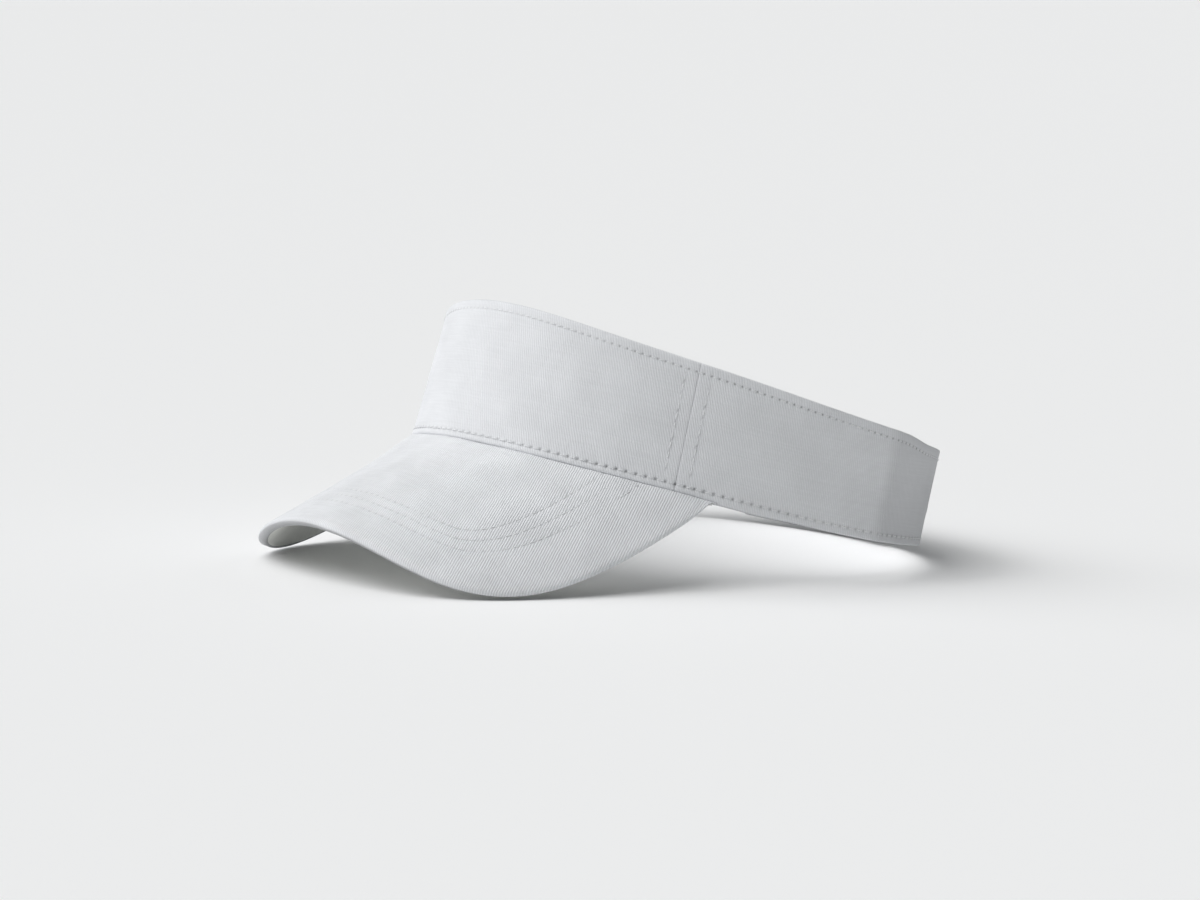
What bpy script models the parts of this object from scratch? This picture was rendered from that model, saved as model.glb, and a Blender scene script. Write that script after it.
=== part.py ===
"""Sun visor: a fabric head band, a stiff curved bill, and a hook-and-loop closure at the back.

The visor stands on a table, +Z up, with its bill towards -Y and the wearer's left towards +X.
The origin is the middle of the bottom of its bounding box. Sizes are in metres.
"""

import math

import bmesh
import bpy
from mathutils import Matrix, Vector

MM = 0.001

# Head band. Angle t runs round it, 0 at the front centre and half a turn at the back centre.
# Height share v runs up it, 0 at the bottom edge and 1 at the top edge.
BAND_CENTRE = Vector((0, 19.4 * MM, 21.8 * MM))
BAND_FRONT_REACH = 83.2 * MM
BAND_REAR_REACH = 94.6 * MM
BAND_HALF_WIDTH = 87.4 * MM
BAND_EGG = (-0.241, 0.101, 0.048)  # widens the rear half of the plan and narrows the front
BAND_TILT = math.radians(13.93)  # the front stands higher than the back
EDGE_RISE_MM = (1.9, 0.2, -0.4, 0.3)  # bottom edge, cosines of 2t, 3t, 4t and 5t
HEIGHT_MM = (40.8, 7.0, 0.6, 0.0, 0.5)  # from bottom to top edge, cosines of 0 to 4t
LEAN_DEG = (1.0, 2.1, 1.8)  # of the wall towards the head, cosines of 0, t and 2t
SEAM_T = math.radians(59.8)  # between front and side panels
CREASE_T = math.radians(109.2)  # where each closure strap folds away from its side panel
CREASE_RIDGE = 0.9 * MM
CREASE_SPREAD = 9.0  # how quickly the ridge dies away on both sides, per radian

# Layers of the band, as depths below its outer surface.
SHELL = (0.0, 0.7 * MM)
INTERLINING = (1.0 * MM, 2.0 * MM)
LINING_FRONT = 2.3 * MM
LINING_SIDE = 1.0 * MM
LINING_THICK = 0.6 * MM
SWEATBAND_END_T = math.radians(103)
SWEATBAND_HEIGHT = 31 * MM
FOAM_THICK = 1.6 * MM
SWEATBAND_THICK = 1.3 * MM
LAYER_GAP = 0.3 * MM

# Bill. It curves down to both sides, slopes down from the band, and ends at two corners.
BILL_CORNER_T = math.radians(70.0)
BILL_SLOPE = math.radians(21.77)
BILL_RADIUS = 87.4 * MM
BILL_STEEPENING = 0.373  # makes the sides fall faster than a circle does
BILL_FLARE = 0.149 / (70 * MM)  # how much more it curves towards the tip
BILL_LENGTH = 63.1 * MM
BILL_EDGE_SQUARENESS = 0.285
BILL_EDGE_FULLNESS = 0.321
BILL_EDGE_POWER = 0.923
BILL_CORNER_CUT = 0.985  # share of the width kept, so that no cover ends in a zero-width point
BILL_TOP = (0.2 * MM, 0.75 * MM)
BILL_BOARD = (1.2 * MM, 2.5 * MM)
BILL_BOTTOM = (2.95 * MM, 3.5 * MM)
BILL_LIP_DEPTH = 2.5 * MM
BILL_LIP_WIDTH = 1.2 * MM
BOARD_SETBACK = 2.4 * MM
BILL_COLUMNS = 32
BILL_ROWS = 7

# Closure. The left strap laps over the right one and carries the hooks.
STRAP_THICK = 1.0 * MM
CREASE_GAP = 0.6 * MM  # on each side of the fold line
LEFT_STRAP_END_T = math.radians(205)
RIGHT_STRAP_END_T = math.radians(-200)
RIGHT_STRAP_DEPTH = 3.9 * MM
RIGHT_STRAP_STEP_T = (math.radians(-114), math.radians(-145))
STRAP_END_ROUNDING = 7 * MM
TAPE_THICK = 1.0 * MM
TAPE_MARGIN = 0.14  # share of the strap's height left clear above and below a tape
HOOK_TAPE_T = (math.radians(172), math.radians(202))
LOOP_TAPE_T = (math.radians(-162), math.radians(-196))

# Stitching: thread lying on the fabric.
THREAD_RADIUS = 0.22 * MM
THREAD_LIFT = 0.55 * MM
TOP_STITCH_INSET = 3.3 * MM
BOTTOM_STITCH_INSET = 2.7 * MM
SEAM_STITCH_OFFSET = 4.3 * MM
BILL_STITCH_INSETS = (13.9 * MM, 18.1 * MM, 22.3 * MM)
BILL_STITCH_STEP = 1 / 24  # of the bill's half width

PANEL_STEP = math.radians(5.2)  # widest panel facet
SMALL_TURN = 1e-4  # radians, for measuring a tangent
TILT = Matrix.Rotation(-BAND_TILT, 3, "X")
UP = Vector((0, 0, 1))


def harmonics(sizes, t, first=0):
    """Sum of cosines of whole multiples of t, starting with the multiple called first."""
    return sum(size * math.cos((first + k) * t) for k, size in enumerate(sizes))


def smooth_step(x):
    x = min(1.0, max(0.0, x))
    return x * x * (3 - 2 * x)


def spaced(start, end, step):
    """Evenly spaced values from start to end, no further apart than step."""
    count = max(1, math.ceil(abs(end - start) / step))
    return [start + (end - start) * k / count for k in range(count + 1)]


# ---- head band surface ----


def plan_point(t):
    c = math.cos(t)
    reach = BAND_FRONT_REACH if c > 0 else BAND_REAR_REACH
    egg = 1 + BAND_EGG[0] * c + BAND_EGG[1] * c**2 + BAND_EGG[2] * c**3
    return Vector((BAND_HALF_WIDTH * math.sin(t) * egg, -reach * c, 0))


def plan_outward(t):
    tangent = plan_point(t + SMALL_TURN) - plan_point(t - SMALL_TURN)
    return Vector((tangent.y, -tangent.x, 0)).normalized()


def crease_ridge(t):
    """The band stands out a little at each fold line and falls away on both sides of it."""
    return CREASE_RIDGE * math.exp(-CREASE_SPREAD * abs(abs(t) - CREASE_T))


def band_height(t):
    return harmonics(HEIGHT_MM, t) * MM


def band_point(t, v, depth=0.0):
    """Point of the band at angle t and height share v, so far below its outer surface."""
    turn = math.remainder(t, 2 * math.pi)
    outward = plan_outward(t)
    lean = math.radians(harmonics(LEAN_DEG, t))
    wall = UP * math.cos(lean) - outward * math.sin(lean)
    face = outward * math.cos(lean) + UP * math.sin(lean)
    base = plan_point(t) + UP * harmonics(EDGE_RISE_MM, t, first=2) * MM
    point = base + wall * v * band_height(t) + face * (crease_ridge(turn) - depth)
    return BAND_CENTRE + TILT @ point


def arc_between(t, other):
    """Length round the band's bottom edge between two close angles."""
    return (band_point(t, 0) - band_point(other, 0)).length


# ---- bill surface ----

BILL_ROOT = band_point(0, 0)
BILL_FORWARD = Vector((0, -math.cos(BILL_SLOPE), -math.sin(BILL_SLOPE)))
BILL_UP = Vector((0, -math.sin(BILL_SLOPE), math.cos(BILL_SLOPE)))


def bill_drop(x, s):
    """How far the bill falls below its centre line at sideways distance x and s forward."""
    round_fall = x**2 / (2 * BILL_RADIUS)
    extra_fall = BILL_STEEPENING * x**4 / (8 * BILL_RADIUS**3)
    return (round_fall + extra_fall) * (1 + BILL_FLARE * s)


def bill_side_slope(x, s):
    round_slope = x / BILL_RADIUS
    extra_slope = BILL_STEEPENING * x**3 / (2 * BILL_RADIUS**3)
    return (round_slope + extra_slope) * (1 + BILL_FLARE * s)


def bill_inner(share):
    """Sideways and forward place of the band's bottom edge, and how far it is off the bill."""
    edge = band_point(share * BILL_CORNER_T, 0) - BILL_ROOT
    s = edge @ BILL_FORWARD
    return edge.x, s, edge @ BILL_UP + bill_drop(edge.x, s)


def bill_outer(share):
    """Sideways and forward place of the bill's outer edge."""
    corner_x, corner_s, _ = bill_inner(1)
    side = math.sin(share * math.pi / 2)
    front = max(0.0, math.cos(share * math.pi / 2))
    x = corner_x * side * (1 + BILL_EDGE_SQUARENESS * front**2)
    bulge = front**BILL_EDGE_POWER * (1 + BILL_EDGE_FULLNESS * side**2)
    return x, corner_s + (BILL_LENGTH - corner_s) * bulge


def bill_point(share, q, depth=0.0):
    """Point of the bill: share runs across it from -1 to 1, q from the band (0) to the edge (1)."""
    x0, s0, lift = bill_inner(share)
    x1, s1 = bill_outer(share)
    x, s = x0 + (x1 - x0) * q, s0 + (s1 - s0) * q
    surface = BILL_ROOT + Vector((x, 0, 0)) + BILL_FORWARD * s
    surface += BILL_UP * (lift * (1 - q) ** 2 - bill_drop(x, s))
    normal = (BILL_UP + Vector((bill_side_slope(x, s), 0, 0))).normalized()
    return surface - normal * depth


def bill_reach(share):
    """Distance across the bill from the band to the outer edge."""
    return (bill_point(share, 1) - bill_point(share, 0)).length


# ---- making objects ----


def material(name, colour, roughness):
    made = bpy.data.materials.new(name)
    made.use_nodes = True
    shader = made.node_tree.nodes["Principled BSDF"]
    shader.inputs["Base Color"].default_value = (*colour, 1)
    shader.inputs["Roughness"].default_value = roughness
    shader.inputs["Metallic"].default_value = 0
    made.diffuse_color = (*colour, 1)
    return made


def place(obj, parent, finish):
    """Links obj, gives it its material, and hangs it on its body's empty without moving it."""
    obj.data.materials.append(finish)
    bpy.context.scene.collection.objects.link(obj)
    if parent is not None:
        obj.parent = parent
        obj.matrix_parent_inverse = parent.matrix_world.inverted()
    return obj


def layer(name, face, back, parent, finish):
    """A closed solid between two grids of points of the same size, shaded smooth."""
    rows, columns = len(face), len(face[0])
    points = [p for row in face for p in row] + [p for row in back for p in row]

    def at(side, i, j):
        return (side * rows + i) * columns + j

    faces = []
    for i in range(rows - 1):
        for j in range(columns - 1):
            for side in (0, 1):
                corners = ((i, j), (i + 1, j), (i + 1, j + 1), (i, j + 1))
                faces.append([at(side, *corner) for corner in corners])
    rim = [(i, 0) for i in range(rows)]
    rim += [(rows - 1, j) for j in range(1, columns)]
    rim += [(i, columns - 1) for i in range(rows - 2, -1, -1)]
    rim += [(0, j) for j in range(columns - 2, 0, -1)]
    for here, after in zip(rim, rim[1:] + rim[:1]):
        faces.append([at(0, *here), at(0, *after), at(1, *after), at(1, *here)])
    mesh = bpy.data.meshes.new(name)
    mesh.from_pydata(points, [], faces)
    shape = bmesh.new()
    shape.from_mesh(mesh)
    bmesh.ops.recalc_face_normals(shape, faces=shape.faces)
    shape.to_mesh(mesh)
    shape.free()
    mesh.shade_smooth()
    mesh.set_sharp_from_angle(angle=math.radians(40))
    return place(bpy.data.objects.new(name, mesh), parent, finish)


def band_layer(name, angles, shares, outer, thick, parent, finish, v_range=(0.0, 1.0)):
    """A layer of the band. outer gives its depth at an angle, v_range its lowest and highest v."""
    limits = v_range if callable(v_range) else lambda t: v_range

    def grid(extra):
        rows = []
        for t in angles:
            low, high = limits(t)
            rows.append(
                [band_point(t, low + (high - low) * v, outer(t) + extra) for v in shares]
            )
        return rows

    return layer(name, grid(0), grid(thick), parent, finish)


def thread(name, points, parent, finish):
    """A thin tube of thread through the given points."""
    curve = bpy.data.curves.new(name, "CURVE")
    curve.dimensions = "3D"
    curve.bevel_depth = THREAD_RADIUS
    curve.bevel_resolution = 0
    curve.use_fill_caps = True
    spline = curve.splines.new("POLY")
    spline.points.add(len(points) - 1)
    for knot, point in zip(spline.points, points):
        knot.co = (*point, 1)
    spline.use_smooth = True
    return place(bpy.data.objects.new(name, curve), parent, finish)


def hinge_empty(name, t):
    """An empty on the fold line of a closure strap, at the line's lower end."""
    empty = bpy.data.objects.new(name, None)
    empty.location = band_point(t, 0, STRAP_THICK / 2)
    bpy.context.scene.collection.objects.link(empty)
    bpy.context.view_layer.update()
    return empty


# ---- sub-parts ----

THIRDS = [0, 1 / 3, 2 / 3, 1]


def lining_depth(t):
    """The lining lies deeper over the front panel, where the interlining is."""
    beyond = (abs(t) - SEAM_T) / math.radians(8)
    return LINING_FRONT + (LINING_SIDE - LINING_FRONT) * smooth_step(beyond)


def front_panels(shell, stiffener, lining):
    edge = SEAM_T - math.radians(0.2)
    angles = spaced(-edge, edge, PANEL_STEP)
    deep = INTERLINING[0]
    thick = INTERLINING[1] - INTERLINING[0]
    band_layer("front_panel", angles, THIRDS, lambda t: SHELL[0], SHELL[1], None, shell)
    band_layer(
        "front_interlining", angles, THIRDS, lambda t: deep, thick, None, stiffener, (0.05, 0.95)
    )
    band_layer(
        "front_lining", angles, THIRDS, lining_depth, LINING_THICK, None, lining, (0.02, 0.98)
    )


def side_panels(side, sign, shell, lining):
    start = SEAM_T + math.radians(0.2)
    end = CREASE_T - CREASE_GAP / BAND_HALF_WIDTH
    angles = [sign * t for t in spaced(start, end, PANEL_STEP)]
    band_layer(f"side_panel_{side}", angles, THIRDS, lambda t: SHELL[0], SHELL[1], None, shell)
    band_layer(
        f"side_lining_{side}", angles, THIRDS, lining_depth, LINING_THICK, None, lining,
        (0.02, 0.98),
    )


def sweatband(foam, towelling):
    """A foam strip behind a towelling face, round the lower inside of the front and sides."""
    angles = spaced(-SWEATBAND_END_T, SWEATBAND_END_T, PANEL_STEP)

    def foam_depth(t):
        return lining_depth(t) + LINING_THICK + LAYER_GAP

    def face_depth(t):
        return foam_depth(t) + FOAM_THICK + LAYER_GAP

    def v_range(t):
        return 0.03, SWEATBAND_HEIGHT / band_height(t)

    band_layer("sweatband_foam", angles, THIRDS, foam_depth, FOAM_THICK, None, foam, v_range)
    band_layer("sweatband", angles, THIRDS, face_depth, SWEATBAND_THICK, None, towelling, v_range)


def bill_layer(name, depths, setback, lip, finish):
    """A layer of the bill, its outer edge set back, with a lip there that turns down."""
    face, back = [], []
    for k in range(BILL_COLUMNS + 1):
        share = BILL_CORNER_CUT * (2 * k / BILL_COLUMNS - 1)
        reach = bill_reach(share)
        end = 1 - min(0.45, setback / reach)
        lip_start = end - min(0.2, BILL_LIP_WIDTH / reach)
        shares = [lip_start * j / (BILL_ROWS - 1) for j in range(BILL_ROWS)] + [end]
        face.append([bill_point(share, q, depths[0]) for q in shares])
        back.append([bill_point(share, q, depths[1]) for q in shares])
        back[-1][-1] = bill_point(share, end, lip)
    layer(name, face, back, None, finish)


def bill(cloth, board):
    bill_layer("bill_top_cover", BILL_TOP, 0, BILL_LIP_DEPTH, cloth)
    bill_layer("bill_board", BILL_BOARD, BOARD_SETBACK, BILL_BOARD[1], board)
    bill_layer("bill_bottom_cover", BILL_BOTTOM, 0, BILL_BOTTOM[1], cloth)


def rounded_end(end_t):
    """The v range of a strap whose free end, at angle end_t, has round corners."""

    def v_range(t):
        inside = min(STRAP_END_ROUNDING, arc_between(t, end_t))
        cut = STRAP_END_ROUNDING - math.sqrt(
            STRAP_END_ROUNDING**2 - (STRAP_END_ROUNDING - inside) ** 2
        )
        share = cut / band_height(t)
        return share, 1 - share

    return v_range


def strap_angles(start, end):
    """Angles along a strap, closer together where its end is rounded."""
    rounding = math.copysign(STRAP_END_ROUNDING / BAND_REAR_REACH, end - start)
    quarter = [end - rounding * (1 - math.sin(k * math.pi / 8)) for k in range(1, 5)]
    return spaced(start, end - rounding, PANEL_STEP) + quarter


def right_strap_depth(t):
    """The right strap steps inward, to pass under the left one."""
    start, end = RIGHT_STRAP_STEP_T
    return RIGHT_STRAP_DEPTH * smooth_step((t - start) / (end - start))


def closure(shell, hooks, loops):
    """Both straps, each on an empty on its fold line, with the tapes sewn to them."""
    start = CREASE_T + CREASE_GAP / BAND_HALF_WIDTH
    left = hinge_empty("left_fold_line", CREASE_T)
    right = hinge_empty("right_fold_line", -CREASE_T)
    band_layer(
        "closure_strap_left", strap_angles(start, LEFT_STRAP_END_T), THIRDS, lambda t: 0,
        STRAP_THICK, left, shell, rounded_end(LEFT_STRAP_END_T),
    )
    band_layer(
        "closure_strap_right", strap_angles(-start, RIGHT_STRAP_END_T), THIRDS, right_strap_depth,
        STRAP_THICK, right, shell, rounded_end(RIGHT_STRAP_END_T),
    )
    hook_depth = STRAP_THICK + LAYER_GAP
    loop_depth = RIGHT_STRAP_DEPTH - LAYER_GAP - TAPE_THICK
    tape_range = (TAPE_MARGIN, 1 - TAPE_MARGIN)
    band_layer(
        "hook_tape", spaced(*HOOK_TAPE_T, PANEL_STEP), THIRDS, lambda t: hook_depth,
        TAPE_THICK, left, hooks, tape_range,
    )
    band_layer(
        "loop_tape", spaced(*LOOP_TAPE_T, PANEL_STEP), THIRDS, lambda t: loop_depth,
        TAPE_THICK, right, loops, tape_range,
    )


def band_stitching(finish):
    """One row of stitches along each edge of the band, and one on each side of both seams."""
    end = CREASE_T - math.radians(1)
    angles = spaced(-end, end, PANEL_STEP)
    top = [band_point(t, 1 - TOP_STITCH_INSET / band_height(t), -THREAD_LIFT) for t in angles]
    low = [band_point(t, BOTTOM_STITCH_INSET / band_height(t), -THREAD_LIFT) for t in angles]
    thread("top_edge_stitching", top, None, finish)
    thread("bottom_edge_stitching", low, None, finish)
    turn = SEAM_STITCH_OFFSET / BAND_HALF_WIDTH
    for side, sign in (("left", 1), ("right", -1)):
        for row, t in (("front", SEAM_T - turn), ("rear", SEAM_T + turn)):
            line = [band_point(sign * t, v, -THREAD_LIFT) for v in spaced(0.15, 0.83, 0.2)]
            thread(f"seam_stitching_{side}_{row}", line, None, finish)


def edge_distance(x, s, edge):
    """Distance on the flat bill pattern from a place on it to the outer edge."""
    return min(math.hypot(x - edge_x, s - edge_s) for edge_x, edge_s in edge)


def stitch_place(share, inset, edge):
    """Where the row this far inside the outer edge crosses the bill, or None where it doesn't."""
    x0, s0, _ = bill_inner(share)
    if edge_distance(x0, s0, edge) < inset:
        return None
    x1, s1 = bill_outer(share)
    near, far = 0.0, 1.0
    for _ in range(20):
        middle = (near + far) / 2
        x, s = x0 + (x1 - x0) * middle, s0 + (s1 - s0) * middle
        if edge_distance(x, s, edge) > inset:
            near = middle
        else:
            far = middle
    return near


def bill_stitching(finish):
    """Rows of stitches that follow the bill's outer edge, each at its own distance inside it."""
    edge = [bill_outer(k / 200) for k in range(-200, 201)]
    lift = BILL_TOP[0] - THREAD_LIFT
    shares = spaced(-BILL_CORNER_CUT, BILL_CORNER_CUT, BILL_STITCH_STEP)
    for number, inset in enumerate(BILL_STITCH_INSETS, 1):
        places = [(share, stitch_place(share, inset, edge)) for share in shares]
        row = [bill_point(share, q, lift) for share, q in places if q is not None]
        thread(f"bill_stitching_{number}", row, None, finish)


def clear_scene():
    for obj in list(bpy.data.objects):
        bpy.data.objects.remove(obj, do_unlink=True)


def main():
    clear_scene()
    twill = material("white_twill", (0.80, 0.81, 0.83), 0.85)
    lining = material("white_lining", (0.74, 0.75, 0.77), 0.9)
    buckram = material("buckram", (0.66, 0.65, 0.60), 0.95)
    foam = material("foam", (0.72, 0.71, 0.66), 0.95)
    towelling = material("towelling", (0.78, 0.79, 0.80), 0.98)
    board = material("bill_board_plastic", (0.85, 0.86, 0.86), 0.45)
    hooks = material("hook_tape", (0.76, 0.77, 0.78), 0.7)
    loops = material("loop_tape", (0.76, 0.77, 0.78), 0.95)
    cotton = material("thread", (0.82, 0.83, 0.85), 0.6)
    front_panels(twill, buckram, lining)
    side_panels("left", 1, twill, lining)
    side_panels("right", -1, twill, lining)
    sweatband(foam, towelling)
    bill(twill, board)
    closure(twill, hooks, loops)
    band_stitching(cotton)
    bill_stitching(cotton)


main()
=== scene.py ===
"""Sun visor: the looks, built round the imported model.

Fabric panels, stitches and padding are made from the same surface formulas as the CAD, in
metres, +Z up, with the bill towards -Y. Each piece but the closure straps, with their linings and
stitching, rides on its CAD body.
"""

import functools
import math

import bpy
import numpy as np
from mathutils import Matrix, Vector


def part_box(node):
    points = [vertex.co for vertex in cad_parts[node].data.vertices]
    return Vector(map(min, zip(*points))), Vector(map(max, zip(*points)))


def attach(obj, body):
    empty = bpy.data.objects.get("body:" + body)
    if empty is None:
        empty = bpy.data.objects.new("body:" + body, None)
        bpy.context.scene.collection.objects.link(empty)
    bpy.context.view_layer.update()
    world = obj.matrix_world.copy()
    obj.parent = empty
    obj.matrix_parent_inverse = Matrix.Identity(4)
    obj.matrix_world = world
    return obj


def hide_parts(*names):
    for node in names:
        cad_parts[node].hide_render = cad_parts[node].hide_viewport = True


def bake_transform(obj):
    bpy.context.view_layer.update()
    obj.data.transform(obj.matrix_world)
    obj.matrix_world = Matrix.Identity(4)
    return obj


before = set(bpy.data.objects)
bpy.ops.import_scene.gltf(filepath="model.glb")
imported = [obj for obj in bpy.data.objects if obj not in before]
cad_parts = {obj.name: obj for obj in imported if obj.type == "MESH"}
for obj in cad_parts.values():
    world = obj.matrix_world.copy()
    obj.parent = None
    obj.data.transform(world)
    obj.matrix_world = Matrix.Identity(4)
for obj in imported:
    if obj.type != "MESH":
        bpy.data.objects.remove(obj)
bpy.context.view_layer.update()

MM = 0.001
DEG = math.pi / 180

# ---- head band: the CAD's dimensions ----

BAND_CENTRE = np.array((0, 19.4, 21.8)) * MM
BAND_FRONT_REACH = 83.2 * MM
BAND_REAR_REACH = 94.6 * MM
BAND_HALF_WIDTH = 87.4 * MM
BAND_EGG = (-0.241, 0.101, 0.048)
BAND_TILT = 13.93 * DEG
EDGE_RISE_MM = (1.9, 0.2, -0.4, 0.3)
HEIGHT_MM = (40.8, 7.0, 0.6, 0.0, 0.5)
LEAN_DEG = (1.0, 2.1, 1.8)
SEAM_T = 59.8 * DEG
CREASE_T = 109.2 * DEG
CREASE_RIDGE = 0.9 * MM
STRAP_DIP = 1.3 * MM  # how much lower the straps' top edge is than the panels'
STRAP_DIP_T = (111 * DEG, 124 * DEG)
CREASE_SPREAD = 9.0
FOLD_RIDGE = 2.4 * MM  # the cloth's own fold: flatter before it and tighter past it
FOLD_SPREADS = (4.0, 13.0)
CREASE_SOFTNESS = 0.024  # radians over which the fold is rounded
LINING_FRONT = 2.3 * MM
LINING_SIDE = 1.0 * MM
LINING_THICK = 0.6 * MM
SWEATBAND_END_T = 103 * DEG
SWEATBAND_HEIGHT = 31.5 * MM
LEFT_STRAP_END_T = 205 * DEG
RIGHT_STRAP_END_T = -200 * DEG
RIGHT_STRAP_DEPTH = 3.9 * MM
RIGHT_STRAP_STEP_T = (-114 * DEG, -145 * DEG)
STRAP_THICK = 1.0 * MM
STRAP_END_ROUNDING = 7 * MM
HOOK_TAPE_T = (172 * DEG, 202 * DEG)
LOOP_TAPE_T = (-162 * DEG, -196 * DEG)
TAPE_MARGIN = 0.14

# ---- bill: the CAD's dimensions ----

BILL_CORNER_T = 70.0 * DEG
BILL_SLOPE = 21.77 * DEG
BILL_RADIUS = 87.4 * MM
BILL_STEEPENING = 0.373
BILL_FLARE = 0.149 / (70 * MM)
BILL_LENGTH = 63.1 * MM
BILL_EDGE_SQUARENESS = 0.285
BILL_EDGE_FULLNESS = 0.321
BILL_EDGE_POWER = 0.923
BILL_CORNER_CUT = 0.985
BILL_FACE = 0.5 * MM
BILL_UNDERSIDE = 3.9 * MM
BILL_TAPER = 2.1 * MM  # how much thinner the bill is where it meets the band
RIM_PROUD = 0.45 * MM

# ---- cloth and thread ----

CLOTH = 0.6 * MM
STRAP_CLOTH = 0.42 * MM
FOLD_HEIGHT = 1.0 * MM  # how far up a folded edge is rounded
TOP_INSET = 3.3 * MM
LOW_INSET = 2.7 * MM
SEAM_OFFSET = 4.3 * MM
BILL_INSETS = (13.9 * MM, 18.1 * MM, 22.3 * MM)
TOP_PITCH = 2.69 * MM
LOW_PITCH = 3.35 * MM
SEAM_PITCH = 3.3 * MM
BILL_PITCH = 3.0 * MM
SMALL_HOLE, BIG_HOLE = 0.3 * MM, 0.46 * MM  # radii of the needle holes' dimples
STITCH_BREAK = 1.2 * DEG  # how far the edge stitches stay clear of the fold
COLUMN = 0.335 * MM  # spacing of mesh columns along the band

SIDES = (("left", 1), ("right", -1))
QUARTER_TURN = np.linspace(0, math.pi / 2, 6)
TILT = np.array(Matrix.Rotation(-BAND_TILT, 3, "X"))


def harmonics(sizes, t, first=0):
    return sum(size * np.cos((first + k) * t) for k, size in enumerate(sizes))


def smooth_step(x):
    x = np.clip(x, 0, 1)
    return x * x * (3 - 2 * x)


def unit(v):
    return v / np.linalg.norm(v, axis=-1, keepdims=True)


def gauss(x, width):
    return np.exp(-((x / width) ** 2))


# ---- head band surface ----


def plan_point(t):
    c = np.cos(t)
    reach = np.where(c > 0, BAND_FRONT_REACH, BAND_REAR_REACH)
    egg = 1 + BAND_EGG[0] * c + BAND_EGG[1] * c**2 + BAND_EGG[2] * c**3
    return np.stack([BAND_HALF_WIDTH * np.sin(t) * egg, -reach * c, 0 * t], -1)


def band_height(t):
    past_crease = smooth_step((np.abs(t) - STRAP_DIP_T[0]) / (STRAP_DIP_T[1] - STRAP_DIP_T[0]))
    return harmonics(HEIGHT_MM, t) * MM - STRAP_DIP * past_crease


def crease_ridge(t):
    past = np.abs(np.remainder(t + math.pi, 2 * math.pi) - math.pi) - CREASE_T
    off = np.sqrt(past**2 + CREASE_SOFTNESS**2)
    spread = np.where(past < 0, *FOLD_SPREADS)
    return FOLD_RIDGE * np.exp(-spread * off)


def band_frame(t):
    """At angle t: the outer surface's lowest point, and the unit vectors up the wall and out."""
    tangent = plan_point(t + 1e-4) - plan_point(t - 1e-4)
    outward = unit(np.stack([tangent[..., 1], -tangent[..., 0], 0 * t], -1))
    lean = (harmonics(LEAN_DEG, t) * DEG)[..., None]
    up = np.array((0, 0, 1.0))
    wall = up * np.cos(lean) - outward * np.sin(lean)
    face = outward * np.cos(lean) + up * np.sin(lean)
    rise = harmonics(EDGE_RISE_MM, t, first=2) * MM
    base = plan_point(t) + up * rise[..., None] + face * crease_ridge(t)[..., None]
    return BAND_CENTRE + base @ TILT.T, wall @ TILT.T, face @ TILT.T


def band_at(t, h, out):
    """Points of the band at angle t, h up the wall and out from its outer surface."""
    base, wall, face = band_frame(np.asarray(t, float))
    return base + wall * np.asarray(h)[..., None] + face * np.asarray(out)[..., None]


def anchor_shift():
    """Brings this script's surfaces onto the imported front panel, should it have moved."""
    edge = SEAM_T - 0.2 * DEG
    t = np.linspace(-edge, edge, 24)[:, None] + np.zeros(4)
    share = np.array((0, 1 / 3, 2 / 3, 1)) + np.zeros((24, 1))
    base, wall, face = band_frame(t)
    ridge = CREASE_RIDGE * np.exp(-CREASE_SPREAD * np.abs(np.abs(t) - CREASE_T))
    base = base + face * (ridge - crease_ridge(t))[..., None]
    wall_points = base + wall * (share * band_height(t))[..., None]
    both = np.concatenate([wall_points, wall_points - face * 0.7 * MM]).reshape(-1, 3)
    return np.array(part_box("front_panel")[0]) - both.min(0)


BAND_CENTRE = BAND_CENTRE + anchor_shift()

T_TABLE = np.linspace(-1.25 * math.pi, 1.25 * math.pi, 9001)


def arc_table(height):
    """Length round the band from the front centre, at a height given for each angle."""
    points = band_at(T_TABLE, height(T_TABLE), 0 * T_TABLE)
    steps = np.linalg.norm(np.diff(points, axis=0), axis=1)
    arc = np.concatenate([[0], np.cumsum(steps)])
    return arc - np.interp(0, T_TABLE, arc)


def low_row(t):
    return LOW_INSET + 0 * t


def top_row(t):
    return band_height(t) - TOP_INSET


ARC_MID = arc_table(lambda t: band_height(t) / 2)
ARC_LOW = arc_table(low_row)
ARC_TOP = arc_table(top_row)
# The stitching along the band's edges: its height, its length from the front, its pitch.
LOW_EDGE = (low_row, ARC_LOW, LOW_PITCH)
TOP_EDGE = (top_row, ARC_TOP, TOP_PITCH)


def arc_of(t, table=ARC_MID):
    return np.interp(t, T_TABLE, table)


def angle_at(arc, table=ARC_MID):
    return np.interp(arc, table, T_TABLE)


def columns_between(start, end, step=COLUMN):
    """Angles from start to end, evenly spaced along the band's middle."""
    a, b = arc_of(start), arc_of(end)
    return angle_at(np.linspace(a, b, max(2, round(abs(b - a) / step) + 1)))


def soft_noise(u, v, cell, seed):
    """Smooth noise of about unit size whose bumps are one cell wide."""
    grid = np.random.default_rng(seed).standard_normal((97, 97))
    x, y = np.asarray(u) / cell + 300.3, np.asarray(v) / cell + 300.7
    i, j = np.floor(x).astype(int), np.floor(y).astype(int)
    a, b = smooth_step(x - i), smooth_step(y - j)
    i0, i1, j0, j1 = i % 97, (i + 1) % 97, j % 97, (j + 1) % 97
    return (grid[i0, j0] * (1 - a) + grid[i1, j0] * a) * (1 - b) + (
        grid[i0, j1] * (1 - a) + grid[i1, j1] * a
    ) * b


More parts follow.
